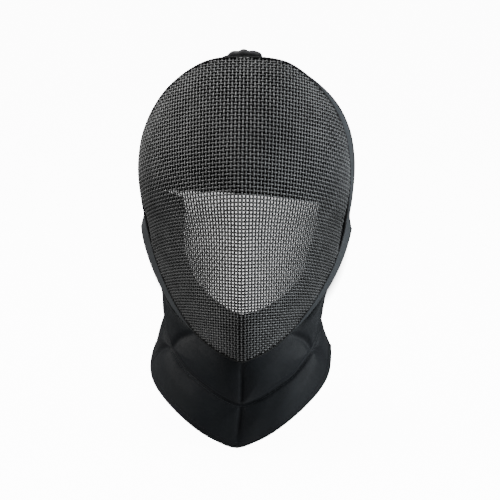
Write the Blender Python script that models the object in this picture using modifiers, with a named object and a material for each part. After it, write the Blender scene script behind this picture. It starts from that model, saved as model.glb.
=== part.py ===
"""Fencing mask: a woven wire dome with a trimmed rim, padding and a padded bib.

Metres, +Z up, the face of the mask looks along -Y. The origin is the point inside the crown
where the top of the wearer's head seats.
"""
import math

import bmesh
import bpy
from mathutils import Vector

# Rim and dome
CROWN_ABOVE_SEAT = 0.014
RIM_HALF_WIDTH = 0.1003
RIM_HEIGHT = 0.2847
RIM_SWEEP = 0.060
DOME_FRONT = 0.121
POLE_DROP = 0.121
RIDGE_SOFTNESS = 0.12
MESH_THICKNESS = 0.0015
FIT_GAP = 0.0003

# Trim
PIPING_RADIUS = 0.0013
BAND_DEPTH = 0.022
BAND_FLARE = 0.0115
BAND_THICKNESS = 0.0024

# Bib
HEM_HALF_WIDTH = 0.0872
HEM_DROP = 0.0885
HEM_SWAY = 0.0042
BIB_FRONT = 0.056
BIB_BACK = 0.058
WAIST_HALF_WIDTH = 0.0788
BIB_THICKNESS = 0.006
BIB_TOP_GAP = 0.0013
BIB_EAR_GAP = 0.0090
BINDING_RADIUS = 0.0016
SEAM_DEPTH = 0.0022
PUFF_HEIGHT = 0.0030

# Padding
PAD_THICKNESS = 0.012
PAD_SEAT = 0.90
FOREHEAD_INSET = 0.0026
FOREHEAD_TAPER = 0.96
CHEEK_INSET = 0.0020
CHIN_INSET = 0.0034
PAD_PLANE = 0.024
PAD_GAP = 0.0028
PAD_SWELL = 0.002
CHIN_PAD_LEAD = 0.030
WINDOW_TOP = 0.132
WINDOW_TILT = 0.057
WINDOW_HALF_WIDTH = 0.064
CHIN_PAD_HEIGHT = 0.0432

# Crown tab and tongue
TAB_REACH = 0.026
TAB_HEIGHT = 0.0080
TAB_CLEARANCE = 0.0003
TONGUE_HALF_WIDTH = 0.027
TONGUE_THICKNESS = 0.008
TONGUE_REACH = 0.118
TONGUE_DROP = 0.115
TONGUE_SWEEP = 88.0

# Mesh resolution
RIM_COLUMNS = 52
DOME_RINGS = 9
BIB_COLUMNS = 52
BIB_ROWS = 12

# The bib's seams: how far down the seam that follows the hem lies at the front and how fast it
# falls up to the place where the side seam crosses it, and how the side seam slants above that
# crossing and spreads more below it
SEAM_HEIGHT = 0.53
SEAM_FALL = 0.23
SEAM_CROSSING = 0.505
SEAM_SLANT = 0.26
SEAM_SPREAD = 0.64

# Where the pads start and end along the rim, from 0 at the crown to 1 at the chin, and the
# matching places in the window's table
FOREHEAD_END = 0.36
CHEEK_END = 0.70
CHIN_START = 0.73
CHEEK_WINDOW = 0.56
CHIN_WINDOW = 0.60

# Stations from crown to chin down one side. Shares of the rim's half width, height and sweep,
# how far the rim leans to +X as a share of its half width, the angle in degrees at which the
# dome meets the rim, how far its profile comes to a ridge, the flare of the trim at -X and at
# +X as shares of BAND_FLARE, and its depth as a share of BAND_DEPTH.
RIM_STATIONS = (
    # width, drop, sweep, lean, cut, ridge, flare_left, flare_right, depth
    (0.000, 0.000, 0.733, 0.000, 68.6, 0.24, -0.52, -0.52, 1.00),
    (0.298, 0.011, 0.711, 0.018, 71.0, 0.29, -0.49, -0.40, 1.00),
    (0.497, 0.045, 0.656, 0.012, 73.4, 0.33, -0.41, -0.22, 1.00),
    (0.692, 0.107, 0.551, 0.004, 76.0, 0.36, -0.30, 0.06, 1.00),
    (0.835, 0.180, 0.433, 0.004, 79.0, 0.36, -0.15, 0.34, 1.00),
    (0.930, 0.260, 0.333, 0.002, 81.7, 0.35, -0.04, 0.50, 1.00),
    (0.974, 0.335, 0.275, 0.002, 82.3, 0.35, 0.02, 0.54, 1.00),
    (0.988, 0.410, 0.234, 0.005, 79.4, 0.36, 0.10, 0.52, 1.00),
    (0.974, 0.500, 0.165, 0.014, 73.6, 0.38, 0.14, 0.46, 1.00),
    (0.952, 0.565, 0.085, 0.020, 67.3, 0.41, 0.34, 0.46, 1.00),
    (0.928, 0.622, 0.028, 0.023, 61.2, 0.44, 0.84, 0.82, 1.00),
    (0.862, 0.705, 0.079, 0.022, 54.8, 0.47, 0.92, 0.86, 1.00),
    (0.751, 0.790, 0.216, 0.014, 48.6, 0.50, 0.88, 0.84, 1.00),
    (0.606, 0.865, 0.441, 0.004, 45.6, 0.50, 0.74, 0.68, 0.86),
    (0.434, 0.927, 0.692, 0.000, 47.6, 0.46, 0.40, 0.40, 0.66),
    (0.245, 0.970, 0.885, 0.000, 52.3, 0.40, 0.18, 0.20, 0.50),
    (0.097, 0.991, 0.972, 0.000, 56.7, 0.34, 0.05, 0.06, 0.42),
    (0.000, 1.000, 1.000, 0.000, 60.0, 0.30, 0.00, 0.00, 0.40),
)
STATION_EAR = 10

# The hem from the point at the front to the back corner. Shares of HEM_HALF_WIDTH, of
# HEM_DROP below the chin, and of the way from BIB_FRONT back to BIB_BACK.
HEM_STATIONS = (
    # width, drop, back
    (0.000, 1.00, 0.000),
    (0.235, 0.93, 0.020),
    (0.450, 0.82, 0.064),
    (0.655, 0.70, 0.165),
    (0.820, 0.60, 0.300),
    (0.940, 0.52, 0.445),
    (1.015, 0.44, 0.600),
    (1.040, 0.35, 0.790),
    (1.030, 0.27, 1.000),
)

# The line half way down the bib. Shares of WAIST_HALF_WIDTH, of HEM_DROP below the chin, and
# of the way from BIB_FRONT back to BIB_BACK.
WAIST_STATIONS = (
    # width, drop, back
    (0.000, 0.50, 0.032),
    (0.234, 0.41, 0.065),
    (0.455, 0.28, 0.145),
    (0.675, 0.13, 0.258),
    (0.857, -0.08, 0.395),
    (0.965, -0.26, 0.540),
    (0.985, -0.40, 0.677),
    (0.970, -0.48, 0.806),
    (0.955, -0.54, 0.927),
)

# Inner edge of the padding below the window's top edge. Shares of WINDOW_HALF_WIDTH on each
# side and of the way from WINDOW_TOP down to the chin pad.
WINDOW_STATIONS = (
    # width_left, width_right, drop
    (0.88, 1.13, 0.03),
    (0.86, 1.08, 0.20),
    (0.88, 0.99, 0.36),
    (0.81, 0.94, 0.50),
    (0.74, 0.91, 0.63),
    (0.60, 0.74, 0.76),
    (0.37, 0.41, 0.90),
    (0.00, 0.00, 1.00),
)


def beyond(rows, end, inner, flips):
    """Row past an end of a table: its mirror image, with the flipped columns negated, or in line."""
    if flips is None:
        return [2.0 * a - b for a, b in zip(rows[end], rows[inner])]
    return [-v if column in flips else v for column, v in enumerate(rows[inner])]


def through_table(rows, place, start_flips=(0,), end_flips=(0,)):
    """Smooth value of every column at a place between 0 and 1 along a table."""
    spans = len(rows) - 1
    step = min(max(place, 0.0), 1.0) * spans
    index = min(int(step), spans - 1)
    share = step - index
    extended = [beyond(rows, 0, 1, start_flips), *rows, beyond(rows, -1, -2, end_flips)]
    values = []
    for a, b, c, d in zip(*extended[index:index + 4]):
        slope_in = (c - a) / 2.0
        slope_out = (d - b) / 2.0
        curve = 2.0 * (b - c) + slope_in + slope_out
        bend = 3.0 * (c - b) - 2.0 * slope_in - slope_out
        values.append(b + share * (slope_in + share * (bend + share * curve)))
    return values


def rim_point(place):
    """Point on the rim. Place 0 is the crown, 1 the chin by the +X side, -1 by the -X side."""
    width, drop, sweep, lean = through_table(RIM_STATIONS, abs(place))[:4]
    side = math.copysign(1.0, place)
    return Vector(((side * width + lean) * RIM_HALF_WIDTH,
                   -sweep * RIM_SWEEP,
                   CROWN_ABOVE_SEAT - drop * RIM_HEIGHT))


def rim_along(place):
    """Unit vector along the rim, in the direction in which the place grows."""
    small = 0.004
    return (rim_point(min(place + small, 1.0)) - rim_point(max(place - small, -1.0))).normalized()


def rim_outward(place):
    """Unit vector away from the face opening, square to the rim as seen from the front."""
    along = rim_along(place)
    return Vector((-along.z, 0.0, along.x)).normalized()


def dome_point(place, reach):
    """Point on the outside of the dome. Reach runs from 0 at the pole to 1 at the rim."""
    cut_angle, ridge = through_table(RIM_STATIONS, abs(place))[4:6]
    cut = math.radians(cut_angle)
    rim = rim_point(place)
    pole = Vector((0.0, -DOME_FRONT, CROWN_ABOVE_SEAT - POLE_DROP))
    radial = math.sin(reach * cut) / math.sin(cut)
    round_depth = (1.0 - math.cos(reach * cut)) / (1.0 - math.cos(cut))
    ridge_depth = ((math.hypot(radial, RIDGE_SOFTNESS) - RIDGE_SOFTNESS)
                   / (math.hypot(1.0, RIDGE_SOFTNESS) - RIDGE_SOFTNESS))
    depth = round_depth + ridge * (ridge_depth - round_depth)
    return Vector((pole.x + radial * (rim.x - pole.x),
                   pole.y + depth * (rim.y - pole.y),
                   pole.z + radial * (rim.z - pole.z)))


def band_point(place, share):
    """Point on the outside of the trim, from its front edge at share 0 to its back edge at 1."""
    values = through_table(RIM_STATIONS, abs(place))
    flare_share = values[7] if place >= 0.0 else values[6]
    slant = math.sqrt(1.0 - rim_along(place).y ** 2)
    back = (PIPING_RADIUS + FIT_GAP) / slant + share * values[8] * BAND_DEPTH
    flare = flare_share * BAND_FLARE * (1.0 - (1.0 - share) ** 2)
    return rim_point(place) + Vector((0.0, back, 0.0)) + rim_outward(place) * flare


def bib_point(turn, share):
    """Point on the outside of the bib. Turn 0 is the front, 1 and -1 are the back edges.

    Share runs from 0 at the trim to 1 at the hem.
    """
    ear = STATION_EAR / (len(RIM_STATIONS) - 1)
    place = math.copysign(1.0 - abs(turn) ** 0.8 * (1.0 - ear), turn)
    gap = BIB_TOP_GAP + BIB_EAR_GAP * turn ** 4
    top = band_point(place, 1.0) + Vector((0.0, gap, 0.0))
    chin_z = CROWN_ABOVE_SEAT - RIM_HEIGHT
    side = math.copysign(1.0, turn)

    def from_table(rows, half_width):
        width, drop, back = through_table(rows, abs(turn), (0,), None)
        return Vector((side * width * half_width,
                       -BIB_FRONT + back * (BIB_FRONT + BIB_BACK),
                       chin_z - drop * HEM_DROP))

    waist = from_table(WAIST_STATIONS, WAIST_HALF_WIDTH)
    hem = from_table(HEM_STATIONS, HEM_HALF_WIDTH)
    hem.x -= HEM_SWAY * (1.0 - turn ** 4)
    return (top * ((1.0 - share) * (1.0 - 2.0 * share)) + waist * (4.0 * share * (1.0 - share))
            + hem * (share * (2.0 * share - 1.0)))


def seam_share(turn, share):
    """How deep the stitching pulls the bib in: 1 on a seam, 0 in the middle of a panel."""
    along = abs(turn)
    hem_seam = SEAM_HEIGHT + SEAM_FALL * min(along, SEAM_CROSSING)
    below = share - SEAM_HEIGHT - SEAM_FALL * SEAM_CROSSING
    side_seam = SEAM_CROSSING + SEAM_SLANT * below + SEAM_SPREAD * max(0.0, below)
    distances = (along / 0.06, abs(share - hem_seam) / 0.16, abs(along - side_seam) / 0.09)
    nearest = min(1.0, min(distances))
    return (1.0 - nearest * nearest) ** 2


def bib_surface(turn, share):
    """Point on the quilted outside of the bib, with puffed panels and pulled-in seams."""
    small = 0.01
    point = bib_point(turn, share)
    across = bib_point(min(turn + small, 1.0), share) - bib_point(max(turn - small, -1.0), share)
    down = bib_point(turn, min(share + small, 1.0)) - bib_point(turn, max(share - small, 0.0))
    outward = down.cross(across).normalized()
    edge = min(1.0, 6.0 * share * (1.0 - share)) * min(1.0, 8.0 * (1.0 - abs(turn)))
    lift = edge * (PUFF_HEIGHT - (PUFF_HEIGHT + SEAM_DEPTH) * seam_share(turn, share))
    return point + outward * lift


def material(name, color, roughness, metallic=0.0):
    finish = bpy.data.materials.new(name)
    finish.use_nodes = True
    shader = finish.node_tree.nodes["Principled BSDF"]
    shader.inputs["Base Color"].default_value = (*color, 1.0)
    shader.inputs["Roughness"].default_value = roughness
    shader.inputs["Metallic"].default_value = metallic
    return finish


def loft(name, rows, finish, collection, closed=False, pole=None):
    """Object whose faces join each row of points to the next one."""
    body = bmesh.new()
    made = [[body.verts.new(point) for point in row] for row in rows]
    for first, second in zip(made, made[1:]):
        count = len(first)
        for index in range(count if closed else count - 1):
            after = (index + 1) % count
            body.faces.new((first[index], first[after], second[after], second[index]))
    if pole is not None:
        tip = body.verts.new(pole)
        for index, vertex in enumerate(made[0]):
            body.faces.new((tip, made[0][(index + 1) % len(made[0])], vertex))
    mesh = bpy.data.meshes.new(name)
    body.to_mesh(mesh)
    body.free()
    mesh.shade_smooth()
    mesh.materials.append(finish)
    made_object = bpy.data.objects.new(name, mesh)
    collection.objects.link(made_object)
    return made_object


def thicken(piece, thickness, offset=-1.0):
    shell = piece.modifiers.new("Wall", "SOLIDIFY")
    shell.thickness = thickness
    shell.offset = offset
    return shell


def soften(piece, width, segments=2):
    rounding = piece.modifiers.new("Soft edges", "BEVEL")
    rounding.width = width
    rounding.segments = segments
    rounding.limit_method = "ANGLE"
    rounding.angle_limit = math.radians(40.0)
    return rounding


def bead(name, points, radius, finish, collection, closed=False):
    """Round cord or wire along a line of points."""
    curve = bpy.data.curves.new(name, "CURVE")
    curve.dimensions = "3D"
    curve.bevel_depth = radius
    curve.bevel_resolution = 2
    curve.use_fill_caps = not closed
    line = curve.splines.new("POLY")
    line.points.add(len(points) - 1)
    for slot, point in zip(line.points, points):
        slot.co = (*point, 1.0)
    line.use_cyclic_u = closed
    curve.materials.append(finish)
    made_object = bpy.data.objects.new(name, curve)
    collection.objects.link(made_object)
    return made_object


def places_round(count):
    """Places right round the rim, the crown first."""
    return [2.0 * index / count if 2 * index <= count else 2.0 * index / count - 2.0
            for index in range(count)]


def make_dome(finish, collection):
    edge_gap = PIPING_RADIUS + 2.0 * FIT_GAP
    rows = []
    for ring in range(1, DOME_RINGS + 1):
        row = []
        for place in places_round(RIM_COLUMNS):
            length = (dome_point(place, 1.0) - dome_point(place, 0.98)).length / 0.02
            row.append(dome_point(place, (1.0 - edge_gap / length) * ring / DOME_RINGS))
        rows.append(row)
    dome = loft("mesh_dome", rows, finish, collection, closed=True, pole=dome_point(0.0, 0.0))
    thicken(dome, MESH_THICKNESS)


def make_piping(finish, collection):
    points = [rim_point(place) for place in places_round(RIM_COLUMNS)]
    bead("rim_piping", points, PIPING_RADIUS, finish, collection, closed=True)


def make_band(finish, collection):
    places = places_round(RIM_COLUMNS)
    rows = [[band_point(place, share) for place in places] for share in (0.0, 0.33, 0.67, 1.0)]
    band = loft("rim_band", rows, finish, collection, closed=True)
    thicken(band, BAND_THICKNESS)


def make_bib(finish, collection):
    turns = [1.0 - 2.0 * index / BIB_COLUMNS for index in range(BIB_COLUMNS + 1)]
    rows = [[bib_surface(turn, row / BIB_ROWS) for turn in turns] for row in range(BIB_ROWS + 1)]
    bib = loft("bib", rows, finish, collection)
    thicken(bib, BIB_THICKNESS)


def make_binding(finish, collection):
    below = BINDING_RADIUS + 2.0 * FIT_GAP
    points = []
    for index in range(BIB_COLUMNS + 1):
        turn = 1.0 - 2.0 * index / BIB_COLUMNS
        hem = bib_surface(turn, 1.0)
        down = (hem - bib_surface(turn, 0.97)).normalized()
        points.append(hem + down * below)
    bead("bib_binding", points, BINDING_RADIUS, finish, collection)


def seat_point(place, inset):
    """Where the front corner of a pad meets the inside of the dome."""
    return dome_point(place, PAD_SEAT) - rim_outward(place) * inset


def window_top(x):
    """Height of the straight lower edge of the forehead pad, which slopes a little."""
    return CROWN_ABOVE_SEAT - WINDOW_TOP - WINDOW_TILT * x


def cheek_start(side):
    """Place on the rim where a cheek pad begins, just below the forehead pad."""
    low, high = FOREHEAD_END, CHEEK_END
    for _ in range(24):
        middle = (low + high) / 2.0
        seat = seat_point(side * middle, CHEEK_INSET)
        if seat.z > window_top(seat.x) - PAD_GAP:
            low = middle
        else:
            high = middle
    return high


def window_point(share, side):
    """Point on the free edge of the padding beside and below the window."""
    left, right, drop = through_table(WINDOW_STATIONS, share, None, (0, 1))
    width = right if side > 0.0 else left
    return Vector((side * width * WINDOW_HALF_WIDTH,
                   -PAD_PLANE - drop * CHIN_PAD_LEAD,
                   CROWN_ABOVE_SEAT - WINDOW_TOP
                   - drop * (RIM_HEIGHT - CHIN_PAD_HEIGHT - WINDOW_TOP)))


def pad(name, outer, inner, finish, collection):
    """Soft pad from a line on the dome to a free inner edge, anticlockwise from the front."""
    steps = 5
    rows = []
    for step in range(steps + 1):
        share = step / steps
        swell = Vector((0.0, -math.sin(math.pi * share) * PAD_SWELL, 0.0))
        rows.append([a.lerp(b, share) + swell for a, b in zip(outer, inner)])
    made = loft(name, rows, finish, collection)
    thicken(made, PAD_THICKNESS)
    soften(made, 0.2 * PAD_THICKNESS)


def make_forehead_pad(finish, collection):
    columns = 16
    outer = []
    inner = []
    for index in range(columns + 1):
        seat = seat_point(FOREHEAD_END * (1.0 - 2.0 * index / columns), FOREHEAD_INSET)
        outer.append(seat)
        curve = (seat.x / RIM_HALF_WIDTH) ** 2
        inner.append(Vector((FOREHEAD_TAPER * seat.x, curve * (seat.y + PAD_PLANE) - PAD_PLANE,
                             window_top(seat.x))))
    pad("forehead_pad", outer, inner, finish, collection)


def make_cheek_pad(name, side, finish, collection):
    """Cheek pad along one side, from the forehead pad down to the chin pad."""
    columns = 8
    start = cheek_start(side)
    outer = []
    inner = []
    for index in range(columns + 1):
        share = index / columns
        outer.append(seat_point(side * (start + share * (CHEEK_END - start)), CHEEK_INSET))
        edge = window_point(share * CHEEK_WINDOW, side)
        edge.z = min(edge.z, window_top(edge.x) - PAD_GAP)
        inner.append(edge)
    if side > 0.0:
        outer.reverse()
        inner.reverse()
    pad(name, outer, inner, finish, collection)


def make_chin_pad(finish, collection):
    columns = 14
    outer = []
    inner = []
    for index in range(columns + 1):
        turn = 2.0 * index / columns - 1.0
        side = math.copysign(1.0, turn)
        outer.append(seat_point(side * (1.0 - abs(turn) * (1.0 - CHIN_START)), CHIN_INSET))
        inner.append(window_point(1.0 - abs(turn) * (1.0 - CHIN_WINDOW), side))
    pad("chin_pad", outer, inner, finish, collection)


def make_crown_tab(finish, collection):
    """Folded leatherette tab that lies on the trim at the crown."""
    columns = 10
    rows = []
    for share in (0.10, 0.55, 1.0):
        row = []
        for index in range(columns + 1):
            along = 1.0 - 2.0 * index / columns
            under = band_point(TAB_REACH * along, share)
            row.append(under + Vector((0.0, 0.0, TAB_CLEARANCE)))
        rows.append(row)
    tab = loft("crown_tab", rows, finish, collection)
    thicken(tab, TAB_HEIGHT)
    soften(tab, 0.3 * TAB_HEIGHT)


def make_tongue(finish, collection):
    """Padded spring tongue from the crown over the back of the head, plainly finished."""
    steps = 12
    rows = []
    start = band_point(0.0, 1.0) + Vector((0.0, 2.0 * FIT_GAP, 0.0))
    for step in range(steps + 1):
        angle = math.radians(TONGUE_SWEEP) * step / steps
        back = math.sin(angle) * TONGUE_REACH
        drop = (1.0 - math.cos(angle)) * TONGUE_DROP
        swell = 0.75 + 0.25 * step / steps
        rows.append([start + Vector((side * swell * TONGUE_HALF_WIDTH, back,
                                     -drop - 0.10 * TONGUE_HALF_WIDTH * side * side))
                     for side in (-1.0, -0.6, 0.0, 0.6, 1.0)])
    tongue = loft("back_tongue", rows, finish, collection)
    thicken(tongue, TONGUE_THICKNESS)
    soften(tongue, 0.3 * TONGUE_THICKNESS)


def empty_scene():
    for found in list(bpy.data.objects):
        bpy.data.objects.remove(found, do_unlink=True)


def main():
    empty_scene()
    collection = bpy.data.collections.new("fencing_mask")
    bpy.context.scene.collection.children.link(collection)
    wire = material("coated_wire", (0.045, 0.047, 0.05), 0.42, 0.6)
    trim = material("trim_leatherette", (0.06, 0.065, 0.07), 0.5)
    cord = material("piping_black", (0.012, 0.012, 0.013), 0.45)
    cloth = material("bib_cloth", (0.011, 0.012, 0.015), 0.8)
    lining = material("pad_lining", (0.02, 0.02, 0.022), 0.9)
    make_dome(wire, collection)
    make_piping(cord, collection)
    make_band(trim, collection)
    make_bib(cloth, collection)
    make_binding(cord, collection)
    make_forehead_pad(lining, collection)
    for name, side in (("cheek_pad_left", -1.0), ("cheek_pad_right", 1.0)):
        make_cheek_pad(name, side, lining, collection)
    make_chin_pad(lining, collection)
    make_crown_tab(cord, collection)
    make_tongue(lining, collection)


main()
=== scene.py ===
"""Looks of a fencing mask: a woven wire dome, its trim and padding, and a quilted bib."""

import math

import bmesh
import bpy
from mathutils import Matrix, Vector
from mathutils.bvhtree import BVHTree


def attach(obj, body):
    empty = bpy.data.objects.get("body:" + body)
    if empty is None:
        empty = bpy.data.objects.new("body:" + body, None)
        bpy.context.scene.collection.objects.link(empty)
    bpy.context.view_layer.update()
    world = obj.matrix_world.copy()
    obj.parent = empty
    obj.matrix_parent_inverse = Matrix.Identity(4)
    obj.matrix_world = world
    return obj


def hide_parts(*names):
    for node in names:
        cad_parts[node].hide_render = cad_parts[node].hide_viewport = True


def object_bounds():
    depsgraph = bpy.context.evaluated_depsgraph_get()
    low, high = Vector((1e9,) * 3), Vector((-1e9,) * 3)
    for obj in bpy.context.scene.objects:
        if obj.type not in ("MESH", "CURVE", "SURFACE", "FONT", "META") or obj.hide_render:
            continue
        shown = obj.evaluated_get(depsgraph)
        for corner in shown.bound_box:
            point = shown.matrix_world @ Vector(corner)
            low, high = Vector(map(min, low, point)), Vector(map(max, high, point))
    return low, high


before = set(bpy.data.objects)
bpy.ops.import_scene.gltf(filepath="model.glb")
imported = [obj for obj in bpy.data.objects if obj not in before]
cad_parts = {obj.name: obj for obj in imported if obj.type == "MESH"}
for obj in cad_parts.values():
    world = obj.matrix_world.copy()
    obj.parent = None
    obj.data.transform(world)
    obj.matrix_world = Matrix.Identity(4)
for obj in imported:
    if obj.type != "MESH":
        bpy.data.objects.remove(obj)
cad_low, cad_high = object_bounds()

bl_info = {
    "name": "Fencing Mask",
    "version": (1, 0, 0),
    "blender": (4, 5, 0),
    "location": "3D View > Sidebar > Fencing Mask",
    "description": "Woven wire dome, trim, padding and bib of a fencing mask",
    "category": "Add Mesh",
}

# Shape shared with the solids: lengths in metres, places as shares. The window is finer here.
CROWN_ABOVE_SEAT = 0.014
RIM_HALF_WIDTH = 0.1003
RIM_HEIGHT = 0.2847
RIM_SWEEP = 0.060
DOME_FRONT = 0.121
POLE_DROP = 0.121
RIDGE_SOFTNESS = 0.12
FIT_GAP = 0.0003
PIPING_RADIUS = 0.0013
BAND_DEPTH = 0.022
BAND_FLARE = 0.0115
HEM_HALF_WIDTH = 0.0872
HEM_DROP = 0.0885
HEM_SWAY = 0.0042
BIB_FRONT = 0.056
BIB_BACK = 0.058
WAIST_HALF_WIDTH = 0.0788
BIB_TOP_GAP = 0.0013
BIB_EAR_GAP = 0.0090
PAD_SEAT = 0.90
FOREHEAD_INSET = 0.0026
FOREHEAD_TAPER = 0.96
CHEEK_INSET = 0.0020
CHIN_INSET = 0.0034
PAD_PLANE = 0.024
PAD_GAP = 0.0028
CHIN_PAD_LEAD = 0.030
WINDOW_TOP = 0.1310
WINDOW_TILT = 0.064
WINDOW_HALF_WIDTH = 0.064
CHIN_PAD_HEIGHT = 0.0432
FOREHEAD_END = 0.36
CHEEK_END = 0.70
CHIN_START = 0.73
CHIN_WINDOW = 0.60
SEAM_HEIGHT = 0.53
SEAM_FALL = 0.23
SEAM_CROSSING = 0.505
SEAM_SLANT = 0.26
SEAM_SPREAD = 0.64
STATION_EAR = 10

# Details that only this scene has: lengths in metres, places as shares or reaches, counts
DOME_MIDDLE = -0.12
WIRE_CUT = 0.982
NET_ROWS = 90
NET_COLUMNS = 70
BAND_SEAM = 0.78
TAB_SHIFT = 0.0067
STITCH_LIFT = 0.0001
BIB_TUCK = 0.02
TURN_LENGTH = 0.165
SHARE_LENGTH = 0.085
SIDE_SEAM_LENGTH = 0.150
GROOVE_WIDTH = 0.0026
SWELL_WIDTH = 0.011
CHEEK_OVERLAP = 0.012
PAD_LEAN = -0.18
LINING_INSET = 0.0021
LINING_REACHES = (0.975, 0.955, 0.935, 0.915, 0.895, 0.875)

RIM_STATIONS = (
    # width, drop, sweep, lean, cut, ridge, flare_left, flare_right, depth
    (0.000, 0.000, 0.733, 0.000, 68.6, 0.24, -0.52, -0.52, 1.00),
    (0.298, 0.011, 0.711, 0.018, 71.0, 0.29, -0.49, -0.40, 1.00),
    (0.497, 0.045, 0.656, 0.012, 73.4, 0.33, -0.41, -0.22, 1.00),
    (0.692, 0.107, 0.551, 0.004, 76.0, 0.36, -0.30, 0.06, 1.00),
    (0.835, 0.180, 0.433, 0.004, 79.0, 0.36, -0.15, 0.34, 1.00),
    (0.930, 0.260, 0.333, 0.002, 81.7, 0.35, -0.04, 0.50, 1.00),
    (0.974, 0.335, 0.275, 0.002, 82.3, 0.35, 0.02, 0.54, 1.00),
    (0.988, 0.410, 0.234, 0.005, 79.4, 0.36, 0.10, 0.52, 1.00),
    (0.974, 0.500, 0.165, 0.014, 73.6, 0.38, 0.14, 0.46, 1.00),
    (0.952, 0.565, 0.085, 0.020, 67.3, 0.41, 0.34, 0.46, 1.00),
    (0.928, 0.622, 0.028, 0.023, 61.2, 0.44, 0.84, 0.82, 1.00),
    (0.862, 0.705, 0.079, 0.022, 54.8, 0.47, 0.92, 0.86, 1.00),
    (0.751, 0.790, 0.216, 0.014, 48.6, 0.50, 0.88, 0.84, 1.00),
    (0.606, 0.865, 0.441, 0.004, 45.6, 0.50, 0.74, 0.68, 0.86),
    (0.434, 0.927, 0.692, 0.000, 47.6, 0.46, 0.40, 0.40, 0.66),
    (0.245, 0.970, 0.885, 0.000, 52.3, 0.40, 0.18, 0.20, 0.50),
    (0.097, 0.991, 0.972, 0.000, 56.7, 0.34, 0.05, 0.06, 0.42),
    (0.000, 1.000, 1.000, 0.000, 60.0, 0.30, 0.00, 0.00, 0.40),
)

HEM_STATIONS = (
    # width, drop, back
    (0.000, 1.00, 0.000),
    (0.235, 0.93, 0.020),
    (0.450, 0.82, 0.064),
    (0.655, 0.70, 0.165),
    (0.820, 0.60, 0.300),
    (0.940, 0.52, 0.445),
    (1.015, 0.44, 0.600),
    (1.040, 0.35, 0.790),
    (1.030, 0.27, 1.000),
)

WAIST_STATIONS = (
    # width, drop, back
    (0.000, 0.50, 0.032),
    (0.234, 0.41, 0.065),
    (0.455, 0.28, 0.145),
    (0.675, 0.13, 0.258),
    (0.857, -0.08, 0.395),
    (0.965, -0.26, 0.540),
    (0.985, -0.40, 0.677),
    (0.970, -0.48, 0.806),
    (0.955, -0.54, 0.927),
)

WINDOW_STATIONS = (
    # width_left, width_right, drop
    (0.885, 1.13, 0.03),
    (0.865, 1.095, 0.20),
    (0.886, 1.035, 0.36),
    (0.845, 0.955, 0.50),
    (0.765, 0.905, 0.63),
    (0.63, 0.75, 0.76),
    (0.36, 0.46, 0.90),
    (0.00, 0.00, 1.00),
)


# ---- settings


def number(name, description, default, low, high, **kind):
    """Setting that holds one number between low and high."""
    return bpy.props.FloatProperty(
        name=name, description=description, default=default, min=low, max=high, **kind)


def metres(name, description, default, low, high):
    """Setting that holds a length."""
    return number(name, description, default, low, high, unit="LENGTH")


def degrees(name, description, default):
    """Setting that holds an angle, whose default is given in degrees."""
    return bpy.props.FloatProperty(
        name=name, description=description, default=math.radians(default), subtype="ANGLE",
        unit="ROTATION")


def strength(name, description, default, **kind):
    """Setting that holds a brightness or a power, from zero up."""
    return bpy.props.FloatProperty(
        name=name, description=description, default=default, min=0.0, **kind)


def tint(name, description, default):
    """Setting that holds a colour."""
    return bpy.props.FloatVectorProperty(
        name=name, description=description, default=default, subtype="COLOR", size=3,
        min=0.0, max=1.0)


class WireSettings(bpy.types.PropertyGroup):
    """Woven wire of the dome."""

    radius: metres("Wire radius", "Radius of the coated wire", 0.00087, 0.0003, 0.0015)
    row_pitch: metres("Row pitch", "Distance between level wires along the mesh",
                      0.00352, 0.002, 0.006)
    column_pitch: metres("Column pitch", "Distance between upright wires along the mesh",
                         0.00334, 0.002, 0.006)
    centre_drop: metres("Net centre", "Drop below the crown where both wires run straight",
                        0.062, 0.02, 0.2)
    crimp: number("Crimp", "Rise of a wire over the one it crosses, in wire radii",
                  0.62, 0.0, 1.2)
    color: tint("Coating", "Colour of the coating", (0.006, 0.0062, 0.0064))
    # Grey of the wire crests: partly worn coating, partly a painted highlight.
    crest_wear_and_highlight: tint("Crests", "Colour where the coating is worn", (0.085, 0.086, 0.087))


class TrimSettings(bpy.types.PropertyGroup):
    """Band, piping and crown tab."""

    band_thickness: metres("Band thickness", "Thickness of the leatherette band",
                           0.0024, 0.001, 0.006)
    bead_length: metres("Bead length", "Length of one bead of the piping", 0.0026, 0.001, 0.01)
    tab_height: metres("Tab height", "Height of the folded tab above the band",
                       0.0088, 0.002, 0.02)
    tab_reach: number("Tab reach", "How far the tab runs down each side, in places on the rim",
                      0.0365, 0.01, 0.06)
    color: tint("Leatherette", "Colour of the band", (0.034, 0.038, 0.042))
    cord_color: tint("Piping", "Colour of piping, binding and tab", (0.006, 0.006, 0.007))


class BibSettings(bpy.types.PropertyGroup):
    """Quilted bib and its bound hem."""

    thickness: metres("Thickness", "Thickness of the padded cloth", 0.006, 0.002, 0.012)
    puff: metres("Puff", "How far the panels swell between the seams", 0.0026, 0.0, 0.01)
    seam_depth: metres("Seam depth", "How far the stitching pulls the cloth in",
                       0.0022, 0.0, 0.006)
    binding_radius: metres("Binding radius", "Radius of the bound hem", 0.0016, 0.0005, 0.004)
    color: tint("Cloth", "Colour of the bib", (0.0045, 0.0057, 0.0074))


class PaddingSettings(bpy.types.PropertyGroup):
    """Pads inside the dome and the tongue behind the head."""

    thickness: metres("Pad thickness", "Thickness of the pads", 0.012, 0.004, 0.02)
    tongue_thickness: metres("Tongue thickness", "Thickness of the padded tongue",
                             0.008, 0.003, 0.02)
    fill: number("Fill", "How full the pads are", 0.7, 0.0, 1.0, subtype="FACTOR")
    color: tint("Lining", "Colour of the lining cloth", (0.012, 0.012, 0.013))


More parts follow.
